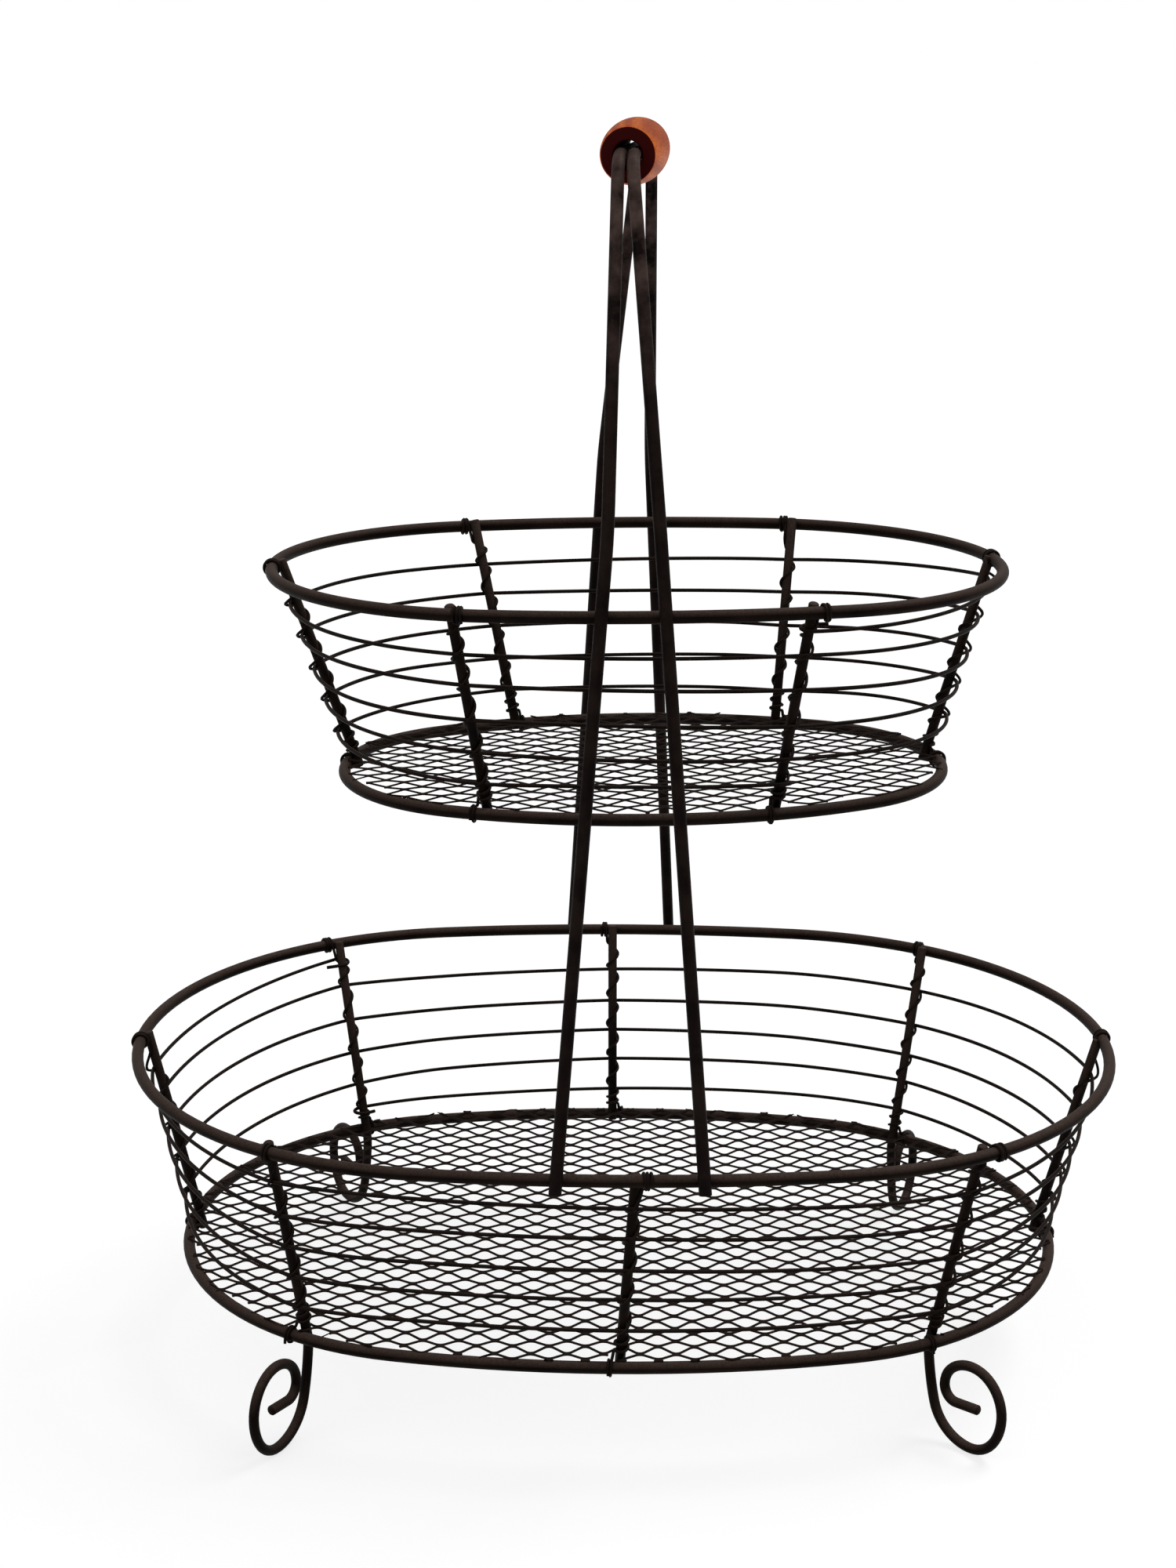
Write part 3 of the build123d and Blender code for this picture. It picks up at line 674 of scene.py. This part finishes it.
def expanded_floor(basket):
    """Net of wavy strands that meet in short bonds, cut to the oval on the base ring."""
    strand_r, half = NET_STRANDS[basket.name]
    shape = half + [(0.5 + s, -h) for s, h in half]
    swing = NET_SHORT / 4 - strand_r * NET_MEET
    periods = floor(basket.base.length / NET_LONG) + 1
    rows = floor(basket.base.width / NET_SHORT) + 1
    strands = []
    for flip in (1, -1):
        points = []
        for period in range(-periods, periods + 1):
            for share, height in shape:
                x = (period + share) * NET_LONG
                points.append(Vector((x, flip * swing * height, NET_CREST * height)))
        strand = bend_wire("strand", points, strand_r, 1, NET_PAINT)
        first_row = -rows * NET_SHORT + (1 - flip) * NET_SHORT / 4
        bpy.ops.transform.resize(value=(1, 1, NET_FLAT))
        bpy.ops.transform.translate(value=(0, first_row * MM, NET_LIFT * MM))
        bpy.ops.object.transform_apply(location=True, scale=True)
        repeat = strand.modifiers.new("rows", "ARRAY")
        repeat.use_relative_offset = False
        repeat.use_constant_offset = True
        repeat.constant_offset_displace = (0, NET_SHORT * MM, 0)
        repeat.count = 2 * rows + 1
        bpy.ops.object.modifier_apply(modifier="rows")
        strands.append(strand)
    net = join_pieces(strands, f"{basket.name}_expanded_floor")
    turn = Matrix.Rotation(radians(basket.turn), 4, "Z")
    place = Matrix.Translation(Vector((basket.shift, 0, basket.base_z)) * MM) @ turn
    place = place @ Matrix.Translation(Vector((basket.base_shift, 0, 0)) * MM)
    back = place.inverted() @ Matrix.Diagonal((MM, MM, MM, 1))
    ribs = [back @ basket.rib_at(rib, basket.base_z + NET_LIFT) / MM for rib in basket.ribs]

    def outside(spot):
        if not basket.base.holds(spot.x, spot.y, NET_EDGE):
            return True
        return any((spot.xy - rib.xy).length < RIB_R + NET_NOTCH for rib in ribs)

    bpy.ops.object.mode_set(mode="EDIT")
    select_where(net, outside)
    bpy.ops.mesh.delete(type="VERT")
    # Cut strands are closed, and scraps too small to close are dropped.
    for _ in range(3):
        bpy.ops.mesh.select_all(action="SELECT")
        bpy.ops.mesh.delete_loose(use_verts=True, use_edges=True)
        bpy.ops.mesh.select_all(action="SELECT")
        bpy.ops.mesh.fill_holes(sides=0)
        bpy.ops.mesh.select_all(action="DESELECT")
        bpy.ops.mesh.select_non_manifold()
        bpy.ops.mesh.delete(type="VERT")
    bpy.ops.mesh.select_all(action="SELECT")
    bpy.ops.mesh.normals_make_consistent(inside=False)
    bpy.ops.object.mode_set(mode="OBJECT")
    net.data.transform(place)
    bpy.ops.object.shade_smooth_by_angle(angle=SMOOTH_BEND)
    dress(net, NET_PAINT)
    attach(net, "frame")
    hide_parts(f"{basket.name}_floor_mesh")


# Weld beads

def weld_beads(name, spots):
    """Small uneven beads: each spot has a place, the way its long axis points, and sizes."""
    beads = []
    for number, (spot, long_way, sizes) in enumerate(spots):
        bpy.ops.object.select_all(action="DESELECT")
        bpy.ops.mesh.primitive_ico_sphere_add(subdivisions=2, radius=MM, location=(0, 0, 0))
        bead = bpy.context.object
        bpy.ops.object.mode_set(mode="EDIT")
        bpy.ops.transform.resize(value=sizes)
        bpy.ops.transform.vertex_random(offset=0.18 * MM, seed=number + 1)
        bpy.ops.object.mode_set(mode="OBJECT")
        aim = long_way.to_track_quat("X", "Z").to_matrix().to_4x4()
        bead.data.transform(Matrix.Translation(spot * MM) @ aim)
        beads.append(bead)
    joined = join_pieces(beads, name)
    bpy.ops.object.shade_smooth()
    dress(joined, BEAD_PAINT)
    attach(joined, "frame")


def rib_welds(basket):
    """A bead on each side of every rib, at the base ring and at the rim."""
    sunk, beside, sizes = 0.15, 1.5, (1.7, 1.0, 0.8)
    spots = []
    for low, high in basket.ribs.values():
        for facing, z in ((low, basket.base_z), (high, basket.rim_z)):
            along = UP.cross(basket.out(facing))
            seam = basket.wall(facing, z, RING_R + sunk)
            spots += [(seam + along * (side * beside), UP, sizes) for side in (-1, 1)]
    weld_beads(f"{basket.name}_rib_welds", spots)


# Grip

def turned_grip():
    """Barrel turned on a lathe: soft crown, flat ends with rounded edges, and a bore. Its
    profile is given as places along the axis, with their distance from it."""
    thickest, thinner = 12.28, 1.95
    end = [(-41.5, GRIP_BORE), (-GRIP_HALF, GRIP_BORE + 0.4), (-GRIP_HALF, 9.75),
           (-41.85, 9.95), (-41.5, 10.12), (-41, 10.22)]
    crown = [(y, thickest - thinner * (y / 41) ** 2) for y in range(-38, 39, 4)]
    other_end = [(-along, radius) for along, radius in reversed(end)]
    profile = end + crown + other_end + [(0, GRIP_BORE), end[0]]
    bpy.ops.object.select_all(action="DESELECT")
    bpy.ops.mesh.primitive_plane_add(size=MM, location=(0, 0, 0))
    grip = bpy.context.object
    grip.name = "turned_wood_grip"
    bpy.ops.object.mode_set(mode="EDIT")
    bpy.ops.mesh.merge(type="CENTER")
    here = Vector((0, 0, 0))
    for step, (along, radius) in enumerate(profile):
        there = Vector((0, along, radius)) * MM
        if step:
            bpy.ops.mesh.extrude_vertices_move(TRANSFORM_OT_translate={"value": there - here})
        else:
            bpy.ops.transform.translate(value=there - here)
        here = there
    bpy.ops.mesh.select_all(action="SELECT")
    bpy.ops.mesh.spin(steps=96, angle=2 * pi, center=(0, 0, 0), axis=(0, 1, 0))
    bpy.ops.mesh.select_all(action="SELECT")
    bpy.ops.mesh.remove_doubles(threshold=0.01 * MM)
    bpy.ops.mesh.normals_make_consistent(inside=False)
    bpy.ops.object.mode_set(mode="OBJECT")
    bpy.ops.object.shade_smooth_by_angle(angle=radians(35))
    turn = Matrix.Rotation(GRIP_TURN, 4, "Z") @ Matrix.Rotation(GRIP_TILT, 4, "X")
    grip.data.transform(Matrix.Translation(GRIP_CENTRE * MM) @ turn)
    dress(grip, GRIP_WOOD)
    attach(grip, "grip")
    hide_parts("handle_grip")


# The object

# Each node of the CAD gets the finish of what it stands for.
for node_name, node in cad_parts.items():
    if "handle_wire" in node_name:
        dress(node, HANDLE_PAINT)
    elif "weave" in node_name or "tie" in node_name:
        dress(node, THIN_PAINT)
    elif "floor" in node_name:
        dress(node, NET_PAINT)
    elif node_name == "handle_grip":
        dress(node, GRIP_WOOD)
    else:
        dress(node, WIRE_PAINT)

for basket in (LOWER, UPPER):
    winding(basket)
    for number, rib in enumerate(basket.ribs):
        upright(basket, rib)
        binding(basket, rib, number + 3 * len(basket.ribs))
    expanded_floor(basket)
    rib_welds(basket)
turned_grip()


# Stage, light and camera

def paper_floor():
    """Matt white paper. It takes the object's shadow, and is seen as bright as the backdrop.
    Its fibres are too fine to show, so its tone changes over 3 mm."""
    finish, tree, place = new_finish("matt_white_paper")
    fibre = add_node(tree, "TexNoise", {"Scale": per(3), "Detail": 3.0}, {"Vector": place})
    tone = add_node(tree, "Mix",
                    {"data_type": "RGBA", 6: linear("#f9f9f9"), 7: linear("#fbfbfb")},
                    {0: fibre.outputs["Fac"]})
    matt = add_node(tree, "BsdfDiffuse", None, {"Color": tone.outputs[2]})
    path = add_node(tree, "LightPath")
    seen = add_node(tree, "Math", {"operation": "MAXIMUM"},
                    {0: path.outputs["Is Camera Ray"], 1: path.outputs["Is Glossy Ray"]})
    glow = add_node(tree, "Emission", {"Color": (1, 1, 1, 1), "Strength": 1.07})
    pale = add_node(tree, "MixShader", {0: 0.7}, {1: matt.outputs[0], 2: glow.outputs[0]})
    mixed = add_node(tree, "MixShader", None,
                     {0: seen.outputs[0], 1: matt.outputs[0], 2: pale.outputs[0]})
    add_node(tree, "OutputMaterial", None, {"Surface": mixed.outputs[0]})
    return finish


def white_room(level):
    """White surroundings that light the object at a level, and are seen as pure white."""
    room = bpy.data.worlds.new("white_room")
    room.use_nodes = True
    tree = room.node_tree
    tree.nodes.clear()
    path = add_node(tree, "LightPath")
    seen = add_node(tree, "Math", {"operation": "MAXIMUM"},
                    {0: path.outputs["Is Camera Ray"], 1: path.outputs["Is Transmission Ray"]})
    light = add_node(tree, "Background", {"Color": (1, 1, 1, 1), "Strength": level})
    white = add_node(tree, "Background", {"Color": (1, 1, 1, 1), "Strength": 1.0})
    sky = add_node(tree, "MixShader", None,
                   {0: seen.outputs[0], 1: light.outputs[0], 2: white.outputs[0]})
    add_node(tree, "OutputWorld", None, {"Surface": sky.outputs[0]})
    return room


def soft_light(name, heading_in, softness, level):
    """Far light from one side. Its level is what it adds to a level white surface."""
    course = -Vector(heading_in).normalized()
    aim = course.to_track_quat("-Z", "Y").to_euler()
    bpy.ops.object.light_add(type="SUN", location=(0, 0, 2), rotation=aim)
    light = bpy.context.object
    light.name = name
    light.data.angle = radians(softness)
    light.data.energy = pi * level / -course.z


bpy.ops.object.select_all(action="DESELECT")
bpy.ops.mesh.primitive_circle_add(vertices=96, radius=30, fill_type="NGON", location=(0, 0, 0))
table = bpy.context.object
table.name = "paper_floor"
dress(table, paper_floor())

# The levels of the room and the two lights add up to 1, so white paper renders white.
bpy.context.scene.world = white_room(0.5)
soft_light("key_above_right", (0.55, 0.25, 1.0), 28, 0.4)
soft_light("fill_front_left", (-0.8, -1.0, 0.9), 50, 0.1)

# Place, aim and lens were fitted to the photograph.
bpy.ops.object.camera_add(
    location=Vector((-16.16, -1009.41, 518.45)) * MM,
    rotation=(radians(74.4309), radians(-0.287), radians(0.0185)),
)
camera = bpy.context.object
camera.data.sensor_width = 36
camera.data.lens = 59.454
camera.data.clip_start = 0.05
bpy.context.scene.camera = camera

bpy.context.scene.view_settings.view_transform = "Standard"
